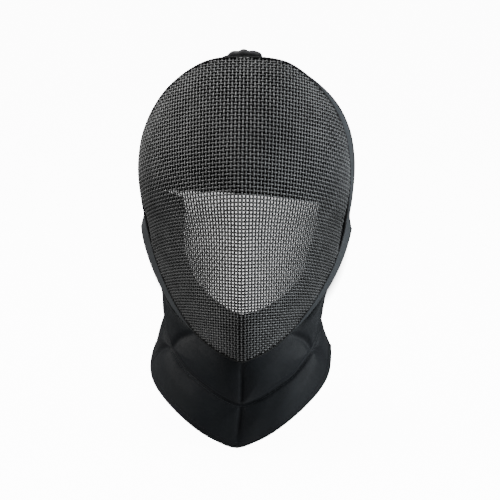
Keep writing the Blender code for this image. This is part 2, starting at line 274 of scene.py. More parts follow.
class StageSettings(bpy.types.PropertyGroup):
    """Camera, light and surround."""

    distance: metres("Camera distance", "Distance from the camera to its aim", 1.3, 0.3, 5.0)
    elevation: degrees("Elevation", "How far the camera looks down", 16.0)
    turn: degrees("Turn", "How far the camera turns to the left", 0.5)
    roll: degrees("Roll", "How far the camera leans", 0.6)
    lens: number("Lens", "Focal length in millimetres", 96.8, 20.0, 300.0)
    aim: bpy.props.FloatVectorProperty(
        name="Aim", description="Point at the middle of the picture", subtype="XYZ",
        unit="LENGTH", size=3, default=(0.0064, 0.0, -0.17846))
    key_power: strength("Key light", "Power of the light above the front", 22.0, unit="POWER")
    side_power: strength("Side lights", "Power that sets both lights at the sides", 15.5,
                         unit="POWER")
    fill_power: strength("Fill light", "Power of the low light in front", 6.0, unit="POWER")
    surround: strength("Surround", "Brightness of the pale surround", 12.0)
    # Glow of the painted shadow on the paper behind the mask, not a cast shadow.
    shade: strength("Shadow", "Brightness of the paper in the shadow behind the mask", 0.36)
    ambient: strength("Ambient", "Strength of the light from all around", 0.15)


# ---- shape rules shared with the solids


def beyond(rows, end, inner, flips):
    """Row past an end of a table: its mirror image, flipped columns negated, or in line."""
    if flips is None:
        return [2.0 * a - b for a, b in zip(rows[end], rows[inner])]
    return [-v if column in flips else v for column, v in enumerate(rows[inner])]


def through_table(rows, place, start_flips=(0,), end_flips=(0,)):
    """Smooth value of every column at a place between 0 and 1 along a table."""
    spans = len(rows) - 1
    step = min(max(place, 0.0), 1.0) * spans
    index = min(int(step), spans - 1)
    share = step - index
    extended = [beyond(rows, 0, 1, start_flips), *rows, beyond(rows, -1, -2, end_flips)]
    values = []
    for a, b, c, d in zip(*extended[index:index + 4]):
        slope_in = (c - a) / 2.0
        slope_out = (d - b) / 2.0
        curve = 2.0 * (b - c) + slope_in + slope_out
        bend = 3.0 * (c - b) - 2.0 * slope_in - slope_out
        values.append(b + share * (slope_in + share * (bend + share * curve)))
    return values


def rim_point(place):
    """Point on the rim. Place 0 is the crown, 1 the chin by the +X side, -1 by the -X side."""
    width, drop, sweep, lean = through_table(RIM_STATIONS, abs(place))[:4]
    side = math.copysign(1.0, place)
    return Vector(((side * width + lean) * RIM_HALF_WIDTH,
                   -sweep * RIM_SWEEP,
                   CROWN_ABOVE_SEAT - drop * RIM_HEIGHT))


def rim_along(place):
    """Unit vector along the rim, in the direction in which the place grows."""
    small = 0.004
    return (rim_point(min(place + small, 1.0)) - rim_point(max(place - small, -1.0))).normalized()


def rim_outward(place):
    """Unit vector away from the face opening, square to the rim as seen from the front."""
    along = rim_along(place)
    return Vector((-along.z, 0.0, along.x)).normalized()


def dome_point(place, reach):
    """Point on the outside of the dome. Reach runs from 0 at the pole to 1 at the rim."""
    cut_angle, ridge = through_table(RIM_STATIONS, abs(place))[4:6]
    cut = math.radians(cut_angle)
    rim = rim_point(place)
    pole = Vector((0.0, -DOME_FRONT, CROWN_ABOVE_SEAT - POLE_DROP))
    radial = math.sin(reach * cut) / math.sin(cut)
    round_depth = (1.0 - math.cos(reach * cut)) / (1.0 - math.cos(cut))
    ridge_depth = ((math.hypot(radial, RIDGE_SOFTNESS) - RIDGE_SOFTNESS)
                   / (math.hypot(1.0, RIDGE_SOFTNESS) - RIDGE_SOFTNESS))
    depth = round_depth + ridge * (ridge_depth - round_depth)
    return Vector((pole.x + radial * (rim.x - pole.x),
                   pole.y + depth * (rim.y - pole.y),
                   pole.z + radial * (rim.z - pole.z)))


def band_point(place, share):
    """Point on the outside of the trim, from its front edge at share 0 to its back edge at 1."""
    values = through_table(RIM_STATIONS, abs(place))
    flare_share = values[7] if place >= 0.0 else values[6]
    slant = math.sqrt(1.0 - rim_along(place).y ** 2)
    back = (PIPING_RADIUS + FIT_GAP) / slant + share * values[8] * BAND_DEPTH
    flare = flare_share * BAND_FLARE * (1.0 - (1.0 - share) ** 2)
    return rim_point(place) + Vector((0.0, back, 0.0)) + rim_outward(place) * flare


def bib_point(turn, share):
    """Point on the outside of the bib. Turn 0 is the front, 1 and -1 are the back edges.

    Share runs from 0 at the trim to 1 at the hem.
    """
    ear = STATION_EAR / (len(RIM_STATIONS) - 1)
    place = math.copysign(1.0 - abs(turn) ** 0.8 * (1.0 - ear), turn)
    gap = BIB_TOP_GAP + BIB_EAR_GAP * turn ** 4
    top = band_point(place, 1.0) + Vector((0.0, gap, 0.0))
    chin_z = CROWN_ABOVE_SEAT - RIM_HEIGHT
    side = math.copysign(1.0, turn)

    def from_table(rows, half_width):
        width, drop, back = through_table(rows, abs(turn), (0,), None)
        return Vector((side * width * half_width,
                       -BIB_FRONT + back * (BIB_FRONT + BIB_BACK),
                       chin_z - drop * HEM_DROP))

    waist = from_table(WAIST_STATIONS, WAIST_HALF_WIDTH)
    hem = from_table(HEM_STATIONS, HEM_HALF_WIDTH)
    hem.x -= HEM_SWAY * (1.0 - turn ** 4)
    return (top * ((1.0 - share) * (1.0 - 2.0 * share)) + waist * (4.0 * share * (1.0 - share))
            + hem * (share * (2.0 * share - 1.0)))


def seat_point(place, inset):
    """Where the front corner of a pad meets the inside of the dome."""
    return dome_point(place, PAD_SEAT) - rim_outward(place) * inset


def window_top(x):
    """Height of the straight lower edge of the forehead pad, which slopes a little."""
    return CROWN_ABOVE_SEAT - WINDOW_TOP - WINDOW_TILT * x


def cheek_start(side):
    """Place on the rim where a cheek pad begins, just below the forehead pad."""
    low, high = FOREHEAD_END, CHEEK_END
    for _ in range(24):
        middle = (low + high) / 2.0
        seat = seat_point(side * middle, CHEEK_INSET)
        if seat.z > window_top(seat.x) - PAD_GAP:
            low = middle
        else:
            high = middle
    return high


def window_point(share, side):
    """Point on the free edge of the padding beside and below the window."""
    left, right, drop = through_table(WINDOW_STATIONS, share, None, (0, 1))
    width = right if side > 0.0 else left
    return Vector((side * width * WINDOW_HALF_WIDTH,
                   -PAD_PLANE - drop * CHIN_PAD_LEAD,
                   CROWN_ABOVE_SEAT - WINDOW_TOP
                   - drop * (RIM_HEIGHT - CHIN_PAD_HEIGHT - WINDOW_TOP)))


# ---- helpers


def link(piece):
    """Puts a new object into the scene."""
    bpy.context.scene.collection.objects.link(piece)
    return piece


def surface_grid(columns, rows, place):
    """Grid of faces whose corners go to place(across, down), both from 0 to 1."""
    body = bmesh.new()
    bmesh.ops.create_grid(body, x_segments=columns, y_segments=rows, size=0.5)
    layer = body.loops.layers.uv.new("UVMap")
    for face in body.faces:
        for loop in face.loops:
            loop[layer].uv = (loop.vert.co.x + 0.5, loop.vert.co.y + 0.5)
    for vertex in body.verts:
        vertex.co = place(vertex.co.x + 0.5, vertex.co.y + 0.5)
    return body


def finish_mesh(name, body, finish, join=False, outward=None):
    """Object made of a bmesh, whose faces are turned to look along outward where it is given."""
    if join:
        bmesh.ops.remove_doubles(body, verts=body.verts, dist=1e-6)
    if outward is not None:
        body.normal_update()
        facing = sum(outward(face.calc_center_median()).dot(face.normal) * face.calc_area()
                     for face in body.faces)
        if facing < 0.0:
            bmesh.ops.reverse_faces(body, faces=body.faces)
    mesh = bpy.data.meshes.new(name)
    body.to_mesh(mesh)
    body.free()
    mesh.shade_smooth()
    mesh.materials.append(finish)
    return link(bpy.data.objects.new(name, mesh))


def wall(piece, thickness):
    """Gives a sheet its thickness, on its inner side."""
    shell = piece.modifiers.new("Wall", "SOLIDIFY")
    shell.thickness = thickness
    shell.offset = -1.0


def round_edges(piece, width):
    """Rounds the sharp edges of a piece."""
    rounding = piece.modifiers.new("Round edges", "BEVEL")
    rounding.width = width
    rounding.segments = 3
    rounding.limit_method = "ANGLE"
    rounding.angle_limit = math.radians(40.0)


def tubes(name, lines, radius, sides, finish, closed=False):
    """Mesh of round wires, cords or stitches, one along each line of (point, swell) pairs."""
    curve = bpy.data.curves.new(name, "CURVE")
    curve.dimensions = "3D"
    curve.bevel_depth = radius
    curve.bevel_resolution = sides // 2 - 2
    curve.use_fill_caps = not closed
    for line in lines:
        spline = curve.splines.new("POLY")
        spline.points.add(len(line) - 1)
        for slot, (point, swell) in zip(spline.points, line):
            slot.co = (*point, 1.0)
            slot.radius = swell
        spline.use_cyclic_u = closed
    source = link(bpy.data.objects.new(name + "_line", curve))
    evaluated = source.evaluated_get(bpy.context.evaluated_depsgraph_get())
    mesh = bpy.data.meshes.new_from_object(evaluated)
    bpy.data.objects.remove(source, do_unlink=True)
    body = bmesh.new()
    body.from_mesh(mesh)
    bmesh.ops.remove_doubles(body, verts=body.verts, dist=1e-7)
    bmesh.ops.recalc_face_normals(body, faces=body.faces)
    body.to_mesh(mesh)
    body.free()
    mesh.name = name
    mesh.shade_smooth()
    mesh.materials.clear()
    mesh.materials.append(finish)
    return link(bpy.data.objects.new(name, mesh))


def declare(piece, slot, *nodes):
    """Ties a finished piece to the body and hides the solids it stands for; the slot is not used.
    """
    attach(piece, "root")
    if nodes:
        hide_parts(*nodes)
    return piece


# ---- finishes


class Finish:
    """Material built up from procedural nodes that work in object coordinates."""

    def __init__(self, name, color, roughness):
        self.material = bpy.data.materials.new(name)
        self.material.use_nodes = True
        self.shader = self.material.node_tree.nodes["Principled BSDF"]
        self.shade({"Base Color": (*color, 1.0), "Roughness": roughness})
        self.where = self.add("ShaderNodeTexCoord", {}).outputs["Object"]

    def feed(self, node, inputs):
        """Sets the inputs of a node, or links those for which a socket is given."""
        for name, value in inputs.items():
            if isinstance(value, bpy.types.NodeSocket):
                self.material.node_tree.links.new(value, node.inputs[name])
            else:
                node.inputs[name].default_value = value

    def shade(self, inputs):
        """Sets or links inputs of the shader."""
        self.feed(self.shader, inputs)

    def add(self, kind, inputs, **choices):
        """New node with its choices made and its inputs fed."""
        node = self.material.node_tree.nodes.new(kind)
        for name, choice in choices.items():
            setattr(node, name, choice)
        self.feed(node, inputs)
        return node

    def noise(self, scale, detail=3.0):
        """Soft patches, from 0 to 1."""
        return self.add("ShaderNodeTexNoise", {
            "Vector": self.where, "Scale": scale, "Detail": detail,
            "Roughness": 0.5}).outputs["Fac"]

    def stripes(self, scale, direction):
        """Slightly uneven waves across a direction, from 0 to 1."""
        return self.add("ShaderNodeTexWave", {
            "Vector": self.where, "Scale": scale, "Distortion": 0.6, "Detail": 1.0,
            }, wave_type="BANDS", bands_direction=direction).outputs["Fac"]

    def computed(self, operation, *values):
        """Result of a sum on numbers or sockets."""
        return self.add("ShaderNodeMath", dict(enumerate(values)),
                        operation=operation).outputs["Value"]

    def graded(self, value, low, high, start=0.3, end=0.7):
        """Number that goes from low to high while the value goes from start to end."""
        return self.add("ShaderNodeMapRange", {
            "Value": value, "From Min": start, "From Max": end, "To Min": low,
            "To Max": high}).outputs["Result"]

    def tinted(self, value, low, high, start=0.3, end=0.7):
        """Colour that goes from low to high while the value goes from start to end."""
        ramp = self.add("ShaderNodeValToRGB", {"Fac": value})
        stops = ramp.color_ramp.elements
        stops[0].position, stops[1].position = start, end
        stops[0].color, stops[1].color = (*low, 1.0), (*high, 1.0)
        return ramp.outputs["Color"]

    def emboss(self, height, amount, distance):
        """Raises the surface by a height, as the light sees it."""
        bump = self.add("ShaderNodeBump", {
            "Height": height, "Strength": amount, "Distance": distance})
        self.shade({"Normal": bump.outputs["Normal"]})


def lighter(color, factor):
    """Colour made lighter, or darker where the factor is below 1."""
    return tuple(min(1.0, channel * factor) for channel in color)


def coated_wire(color, crest_wear_and_highlight):
    """Satin black coating, dark down in the weave as painted shade, and grey on its crests, partly
    from wear and partly as a painted highlight.
    """
    finish = Finish("coated_wire", color, 0.42)
    crest = finish.add("ShaderNodeAttribute", {}, attribute_name="crest").outputs["Fac"]
    wear_and_highlight_mask = finish.computed("MULTIPLY_ADD", finish.noise(55.0), 0.25, crest)
    grain = finish.noise(900.0, 2.0)
    finish.shade({
        # Colour by crest height: grey on the crests is partly wear and partly a painted highlight;
        # the dark lower wire is painted shade.
        "Base Color": finish.tinted(wear_and_highlight_mask, lighter(color, 0.4), crest_wear_and_highlight, 0.86, 1.0),
        "Roughness": finish.graded(grain, 0.32, 0.48),
        "Specular IOR Level": finish.graded(crest, 0.06, 1.0, 0.5, 1.0)})
    finish.emboss(grain, 0.25, 0.0002)
    return finish.material


def leatherette(name, color, roughness=0.48):
    """Embossed leatherette with a pebbled grain and worn, paler high places."""
    finish = Finish(name, color, roughness)
    pebbles = finish.add("ShaderNodeTexVoronoi", {"Vector": finish.where, "Scale": 950.0},
                         feature="SMOOTH_F1").outputs["Distance"]
    patches = finish.noise(40.0, 4.0)
    finish.shade({
        "Base Color": finish.tinted(patches, lighter(color, 0.82), lighter(color, 1.22)),
        "Roughness": finish.graded(pebbles, roughness - 0.08, roughness + 0.12, 0.1, 0.8)})
    finish.emboss(finish.computed("ADD", pebbles, patches), 0.35, 0.0003)
    return finish.material


def ribbed_cord(name, color):
    """Black cord or braid with fine diagonal ribs."""
    finish = Finish(name, color, 0.55)
    ribs = finish.stripes(420.0, "DIAGONAL")
    finish.shade({
        "Specular IOR Level": 0.25,
        "Base Color": finish.tinted(ribs, lighter(color, 0.6), lighter(color, 1.7), 0.1, 0.9)})
    finish.emboss(ribs, 0.5, 0.0003)
    return finish.material


def padded_cloth(name, color, roughness, thread, sheen):
    """Dense woven cloth: crossing threads, a soft sheen and faint shading from use."""
    finish = Finish(name, color, roughness)
    weave = finish.computed("MULTIPLY", finish.stripes(thread, "X"), finish.stripes(thread, "Z"))
    patches = finish.noise(22.0, 4.0)
    finish.shade({
        "Base Color": finish.tinted(patches, lighter(color, 0.85), lighter(color, 1.25)),
        "Roughness": finish.graded(weave, roughness - 0.08, roughness + 0.1, 0.0, 1.0),
        "Sheen Weight": sheen, "Sheen Roughness": 0.45, "Specular IOR Level": 0.17})
    finish.emboss(weave, 0.22, 0.0003)
    return finish.material


def pale_paper_painted_shadow(name, brightness, lamp, drop, shade):
    """Even pale paper, with a painted soft shadow: its glow is dimmed in an oval behind the mask.

    The painted shadow is an oval as seen from the point lamp, which the stage sets at the camera;
    drop is how far the paper lies below that point.
    """
    paper = Finish(name, (0.9, 0.9, 0.9), 0.9)
    parts = paper.add("ShaderNodeSeparateXYZ", {"Vector": paper.where}).outputs
    off = paper.computed("SUBTRACT", parts["X"], lamp.x)
    ahead = paper.computed("SUBTRACT", parts["Y"], lamp.y)
    seen = paper.add("ShaderNodeCombineXYZ", {
        "X": paper.computed("DIVIDE", off, ahead), "Y": paper.computed("DIVIDE", drop, ahead)})
    oval = paper.add("ShaderNodeMapping", {
        "Vector": seen.outputs["Vector"], "Location": (-0.0105, 0.2790, 0.0),
        "Scale": (0.079, 0.084, 1.0)}, vector_type="TEXTURE")
    painted_shadow_fade = paper.add("ShaderNodeTexGradient", {"Vector": oval.outputs["Vector"]},
                     gradient_type="SPHERICAL")
    paper.shade({
        # Painted shadow: inside the oval the glow falls from brightness to shade; no lamp casts it.
        "Emission Strength": paper.graded(painted_shadow_fade.outputs["Fac"], brightness, shade, 0.0, 0.08),
        "Emission Color": (1.0, 1.0, 1.0, 1.0),
        "Base Color": paper.tinted(paper.noise(3.0), (0.89, 0.89, 0.89), (0.91, 0.91, 0.91))})
    return paper.material


# ---- woven dome


def around(count):
    """Places right round the rim, the crown first."""
    return [2.0 * i / count if 2 * i <= count else 2.0 * i / count - 2.0 for i in range(count)]


class DomeSurface:
    """Fine copy of the dome, carried a little past the rim, that finds its nearest point."""

    columns = 260
    rings = 70
    over = 1.05

    def __init__(self):
        places = around(self.columns)
        points = [dome_point(0.0, 0.0)]
        for ring in range(1, self.rings + 1):
            points += [dome_point(place, self.over * ring / self.rings) for place in places]
        sides = [(column, (column + 1) % self.columns) for column in range(self.columns)]
        faces = [(0, 1 + a, 1 + b) for a, b in sides]
        for ring in range(1, self.rings):
            low, high = 1 + (ring - 1) * self.columns, 1 + ring * self.columns
            faces += [(low + a, high + a, high + b, low + b) for a, b in sides]
        self.points, self.faces = points, faces
        self.tree = BVHTree.FromPolygons(points, faces)

    def nearest(self, point):
        """Nearest point, its outward normal, and its reach, which is 1 at the rim."""
        found, normal, index, _ = self.tree.find_nearest(point)
        inward = normal.dot(found - Vector((0.0, 0.0, DOME_MIDDLE))) < 0.0
        if inward or normal.y > 0.0 and found.y < -0.04:
            normal = -normal
        corners = [self.points[i] for i in self.faces[index]]
        if index < self.columns:
            share = min(1.0, (found - corners[0]).length / (corners[1] - corners[0]).length)
            return found, normal, self.over * share / self.rings
        ring = 1 + (index - self.columns) // self.columns
        edge = corners[1] - corners[0]
        share = min(1.0, max(0.0, (found - corners[0]).dot(edge) / edge.length_squared))
        return found, normal, self.over * (ring + share) / self.rings


def net_step(surface, before, start, length):
    """Next point of a straight line on the dome, one length on from start."""
    guess = start + (start - before).normalized() * length
    for _ in range(4):
        found = surface.nearest(guess)[0]
        guess = start + (found - start).normalized() * length
    return surface.nearest(guess)


def net_corner(surface, above, beside, opposite, row_pitch, column_pitch):
    """Fourth corner of a cell, one row pitch from above and one column pitch from beside."""
    guess = above + beside - opposite
    for _ in range(7):
        pull_row = (guess - above).normalized() * row_pitch + above
        pull_column = (guess - beside).normalized() * column_pitch + beside
        guess = pull_row + pull_column - guess
        guess = surface.nearest(guess)[0]
    return surface.nearest(guess)


def net_spine(surface, centre, heading, pitch, most, limit):
    """Net points from the centre straight on, at one pitch each, until the reach is over limit."""
    spine = []
    before, here = centre[0] - heading * pitch, centre[0]
    while len(spine) < most:
        point, normal, reach = net_step(surface, before, here, pitch)
        if heading.x == 0.0:
            point = Vector((0.0, point.y, point.z))
        spine.append((point, normal, reach))
        if reach > limit:
            break
        before, here = here, point
    return spine


def weave_net(surface, settings):
    """Crossings of the wires, as {(row, column): (point, normal, reach)}."""
    limit = surface.over - 0.012
    centre_reach, target = 0.0, CROWN_ABOVE_SEAT - settings.centre_drop
    while dome_point(0.0, centre_reach).z < target:
        centre_reach += 0.001
    centre = surface.nearest(dome_point(0.0, centre_reach))
    net = {(0, 0): centre}
    for sign in (-1, 1):
        rows = net_spine(surface, centre, Vector((0.0, 0.0, sign)), settings.row_pitch,
                         NET_ROWS, limit)
        columns = net_spine(surface, centre, Vector((sign, 0.0, 0.0)), settings.column_pitch,
                            NET_COLUMNS, limit)
        net.update({(sign * (step + 1), 0): found for step, found in enumerate(rows)})
        net.update({(0, sign * (step + 1)): found for step, found in enumerate(columns)})
    for down, right in ((-1, -1), (-1, 1), (1, -1), (1, 1)):
        for row in range(1, NET_ROWS + 1):
            for column in range(1, NET_COLUMNS + 1):
                above = net.get((down * (row - 1), right * column))
                beside = net.get((down * row, right * (column - 1)))
                opposite = net.get((down * (row - 1), right * (column - 1)))
                if above is None or beside is None or opposite is None or beside[2] > limit:
                    break
                net[(down * row, right * column)] = net_corner(
                    surface, above[0], beside[0], opposite[0],
                    settings.row_pitch, settings.column_pitch)
    return net


def wire_lines(net, settings, upright):
    """Crimped lines of one set of wires, cut where they go under the piping."""
    rise = settings.crimp * settings.radius
    groups = {}
    for (row, column), found in net.items():
        line, along = (column, row) if upright else (row, column)
        groups.setdefault(line, {})[along] = found
    lines = []
    for line, places in sorted(groups.items()):
        steps = sorted(places)
        run = []
        for along in range(steps[0], steps[-1] + 1):
            if along not in places:
                continue
            point, normal, reach = places[along]
            side = 1.0 if (line + along) % 2 == (0 if upright else 1) else -1.0
            run.append((point + normal * rise * side, reach))
        kept = []
        for (first, reach_first), (second, reach_second) in zip(run, run[1:]):
            if reach_first <= WIRE_CUT:
                if not kept:
                    kept.append(first)
                if reach_second <= WIRE_CUT:
                    kept += [first.lerp(second, 0.5), second]
                else:
                    share = (WIRE_CUT - reach_first) / (reach_second - reach_first)
                    kept.append(first.lerp(second, share))
                    break
            elif reach_second <= WIRE_CUT:
                share = (WIRE_CUT - reach_first) / (reach_second - reach_first)
                kept = [first.lerp(second, share), second]
        if len(kept) > 2:
            lines.append([(point, 1.0) for point in kept])
    return lines


def mark_crests(piece, surface, height):
    """Stores how high each corner of the wires stands over the mesh, from 0 to 1."""
    mesh = piece.data
    values = []
    for vertex in mesh.vertices:
        found, normal, _ = surface.nearest(vertex.co)
        over = (vertex.co - found).dot(normal) / height
        values.append(min(1.0, max(0.0, 0.5 + 0.5 * over)))
    mesh.attributes.new("crest", "FLOAT", "POINT").data.foreach_set("value", values)


class MASK_OT_wire_mesh(bpy.types.Operator):
    """Weave the dome from two sets of crimped wires that follow its surface"""

    bl_idname = "fencing_mask.wire_mesh"
    bl_label = "Woven Wire Dome"

    def execute(self, context):
        settings = context.scene.mask_wire
        surface = DomeSurface()
        net = weave_net(surface, settings)
        finish = coated_wire(settings.color, settings.crest_wear_and_highlight)
        height = (1.0 + settings.crimp) * settings.radius
        for name, upright in (("wires_upright", True), ("wires_level", False)):
            lines = wire_lines(net, settings, upright)
            wires = tubes(name, lines, settings.radius, 6, finish)
            mark_crests(wires, surface, height)
            declare(wires, "wire_mesh", "mesh_dome")
        return {"FINISHED"}


# ---- trim


class MASK_OT_piping(bpy.types.Operator):
    """Beaded piping along the rim, between the wires and the band"""

    bl_idname = "fencing_mask.piping"
    bl_label = "Rim Piping"

    def execute(self, context):
        settings = context.scene.mask_trim
        coarse = [rim_point(place) for place in around(720)]
        length = sum((a - b).length for a, b in zip(coarse, coarse[1:] + coarse[:1]))
        steps = 4
        line = []
        for index, place in enumerate(around(steps * round(length / settings.bead_length))):
            swell = 0.94 + 0.10 * math.cos(2.0 * math.pi * index / steps)
            line.append((rim_point(place), swell))
        finish = ribbed_cord("piping_black", lighter(settings.cord_color, 0.6))
        piping = tubes("beaded_piping", [line], PIPING_RADIUS, 8, finish, closed=True)
        declare(piping, "piping", "rim_piping")
        return {"FINISHED"}


def stitch_lines(count, gap, end_at):
    """Straight stitches along a line from 0 to 1, with a gap at both ends of each."""
    return [[(end_at((index + share) / count), 1.0) for share in (gap, 1.0 - gap)]
            for index in range(count)]


class MASK_OT_band(bpy.types.Operator):
    """Leatherette band behind the rim, with a turned back edge and a stitched line"""

    bl_idname = "fencing_mask.band"
    bl_label = "Leatherette Band"

    def execute(self, context):
        settings = context.scene.mask_trim

        def place(across, down):
            turn = 2.0 * across if across <= 0.5 else 2.0 * across - 2.0
            point = band_point(turn, down)
            lip = (math.exp(-((down - 0.93) / 0.06) ** 2)
                   - 0.7 * math.exp(-((down - BAND_SEAM) / 0.05) ** 2))
            return point + rim_outward(turn) * 0.0004 * lip

        body = surface_grid(416, 16, place)
        finish = leatherette("trim_leatherette", settings.color)
        band = finish_mesh("leather_band", body, finish, join=True,
                           outward=lambda point: Vector((point.x, 0.0, point.z - DOME_MIDDLE)))
        wall(band, settings.band_thickness)
        round_edges(band, 0.0006)
        declare(band, "trim", "rim_band")
        thread = ribbed_cord("trim_thread", lighter(settings.cord_color, 2.5))

        def stitch_end(step):
            turn = 2.0 * step if step <= 0.5 else 2.0 * step - 2.0
            return band_point(turn, BAND_SEAM) + rim_outward(turn) * STITCH_LIFT

        lines = stitch_lines(300, 0.15, stitch_end)
        declare(tubes("band_stitches", lines, 0.00028, 6, thread), "trim")
        return {"FINISHED"}


class MASK_OT_crown_tab(bpy.types.Operator):
    """Folded leatherette tab that lies on the band at the crown"""

    bl_idname = "fencing_mask.crown_tab"
    bl_label = "Crown Tab"

    def execute(self, context):
        settings = context.scene.mask_trim

        def place(across, down):
            along = 1.0 - 2.0 * across
            point = band_point(settings.tab_reach * along - TAB_SHIFT, 0.06 + 0.94 * down)
            ends = 1.0 - abs(along) ** 14
            sides = 1.0 - abs(2.0 * down - 1.0) ** 8
            folds = (0.90 + 0.05 * math.sin(7.0 * along + 3.0 * down)
                     + 0.05 * math.sin(13.0 * along - 6.0 * down + 1.0))
            step = 0.50 + 0.50 / (1.0 + math.exp(-(along + 0.62) * 24.0))
            slope = 1.0 - 0.30 * (along - 0.20) ** 2
            return point + Vector((0.0, 0.0, 0.0004 + settings.tab_height * min(ends, sides)
                                   * folds * step * slope))

        body = surface_grid(48, 20, place)
        finish = leatherette("tab_leatherette", lighter(settings.cord_color, 1.2), 0.6)
        tab = finish_mesh("folded_tab", body, finish, outward=lambda point: Vector((0.0, 0.0, 1.0)))
        wall(tab, 0.0003)
        declare(tab, "piping", "crown_tab")
        return {"FINISHED"}


# ---- bib


def seam_lines(along, share):
    """Where the side seam runs at this share, and the seam along the hem at this turn."""
    below = share - SEAM_HEIGHT - SEAM_FALL * SEAM_CROSSING
    side_seam = SEAM_CROSSING + SEAM_SLANT * below + SEAM_SPREAD * max(0.0, below)
    return side_seam, SEAM_HEIGHT + SEAM_FALL * min(along, SEAM_CROSSING)


def bib_relief(turn, share, settings):
    """Point on the quilted outside of the bib."""
    small = 0.01
    point = bib_point(turn, share)
    across = bib_point(min(turn + small, 1.0), share) - bib_point(max(turn - small, -1.0), share)
    down = bib_point(turn, min(share + small, 1.0)) - bib_point(turn, share - small)
    outward = down.cross(across).normalized()
    along = abs(turn)
    side_seam, hem_seam = seam_lines(along, share)
    nearest = min(along * TURN_LENGTH, abs(share - hem_seam) * SHARE_LENGTH,
                  abs(along - side_seam) * SIDE_SEAM_LENGTH)
    groove = math.exp(-(nearest / GROOVE_WIDTH) ** 2)
    swell = 1.0 - math.exp(-(nearest / SWELL_WIDTH) ** 2)
    edge = min(1.0, max(0.0, 6.0 * share * (1.0 - share))) * min(1.0, 8.0 * (1.0 - along))
    wrinkle = 0.00022 * math.sin(31.0 * turn + 6.0 * share) * math.sin(11.0 * share) ** 2
    lift = edge * (settings.puff * swell - settings.seam_depth * groove + wrinkle)
    return point + outward * lift, outward


class MASK_OT_bib(bpy.types.Operator):
    """Padded bib, quilted by a centre seam, a seam along the hem and slanting side seams"""

    bl_idname = "fencing_mask.bib"
    bl_label = "Quilted Bib"

    def execute(self, context):
        settings = context.scene.mask_bib
        body = surface_grid(240, 84, lambda across, down: bib_relief(
            1.0 - 2.0 * across, 1.0 - down * (1.0 + BIB_TUCK), settings)[0])
        finish = padded_cloth("bib_cloth", settings.color, 0.6, 900.0, 0.04)
        bib = finish_mesh("quilted_bib", body, finish,
                          outward=lambda point: Vector((point.x, point.y - 0.10, 0.0)))
        wall(bib, settings.thickness)
        declare(bib, "bib_cloth", "bib")
        self.stitch(settings)
        return {"FINISHED"}

    def stitch(self, settings):
        """Rows of small stitches beside the hem seam and beside the binding."""
        thread = ribbed_cord("bib_thread", lighter(settings.color, 1.6))
        lines = []
        for share_of in (lambda turn: 0.965,
                         lambda turn: seam_lines(abs(turn), 0.5)[1] + 0.022):
            def stitch_end(step, share_of=share_of):
                turn = -0.985 + 1.97 * step
                point, outward = bib_relief(turn, share_of(turn), settings)
                return point + outward * STITCH_LIFT

            lines += stitch_lines(150, 0.2, stitch_end)
        declare(tubes("bib_stitches", lines, 0.00022, 6, thread), "bib_cloth")


class MASK_OT_binding(bpy.types.Operator):
    """Bound hem along the lower edge of the bib"""

    bl_idname = "fencing_mask.binding"
    bl_label = "Hem Binding"

    def execute(self, context):
        settings = context.scene.mask_bib
        wrap = 0.62 * settings.thickness

        def place(around_edge, along_edge):
            turn = 1.0 - 2.0 * along_edge
            hem, outward = bib_relief(turn, 1.0, settings)
            down = (hem - bib_relief(turn, 0.97, settings)[0]).normalized()
            angle = 2.0 * math.pi * around_edge
            ripple = 1.0 + 0.04 * math.sin(170.0 * turn)
            return (hem - outward * (0.5 * settings.thickness)
                    + outward * (wrap * math.cos(angle))
                    + down * (settings.binding_radius * ripple * (math.sin(angle) + 0.7)))

        body = surface_grid(16, 320, place)
        bmesh.ops.remove_doubles(body, verts=body.verts, dist=1e-6)
        bmesh.ops.holes_fill(body, edges=body.edges, sides=0)
        finish = ribbed_cord("hem_binding", context.scene.mask_trim.cord_color)
        binding = finish_mesh("bound_hem", body, finish)
        declare(binding, "piping", "bib_binding")
        return {"FINISHED"}


# ---- padding


def lining_strip(place):
    """Line of points from the piping along the inside of the wires to behind the pads."""
    rim, out = rim_point(place), rim_outward(place)
    line = [rim - out * (PIPING_RADIUS + 0.0004) + Vector((0.0, 0.0006, 0.0))]
    for reach in LINING_REACHES:
        line.append(dome_point(place, reach) - out * LINING_INSET + Vector((0.0, 0.0004, 0.0)))
    line.append(line[-1] - out * 0.004 + Vector((0.0, 0.006, 0.0)))
    return line


def pad_piece(name, node, outer_at, inner_at, finish, settings):
    """Soft pad from a line on the dome to its free inner edge."""
    def place(across, down):
        outer, inner = outer_at(across), inner_at(across)
        swell = math.sin(math.pi * down) * 0.002 + 0.0007 * math.sin(math.pi * down * 3.0) ** 2
        return outer.lerp(inner, down) + Vector((0.0, -swell, 0.0))

    body = surface_grid(56, 14, place)
    back = bmesh.ops.extrude_face_region(body, geom=body.faces[:])["geom"]
    bmesh.ops.translate(body, verts=[part for part in back if isinstance(part, bmesh.types.BMVert)],
                        vec=Vector((0.0, 1.0, PAD_LEAN)) * settings.thickness)
    bmesh.ops.recalc_face_normals(body, faces=body.faces)
    pad = finish_mesh(name, body, finish)
    round_edges(pad, 0.25 * settings.thickness)
    declare(pad, "lining", node)


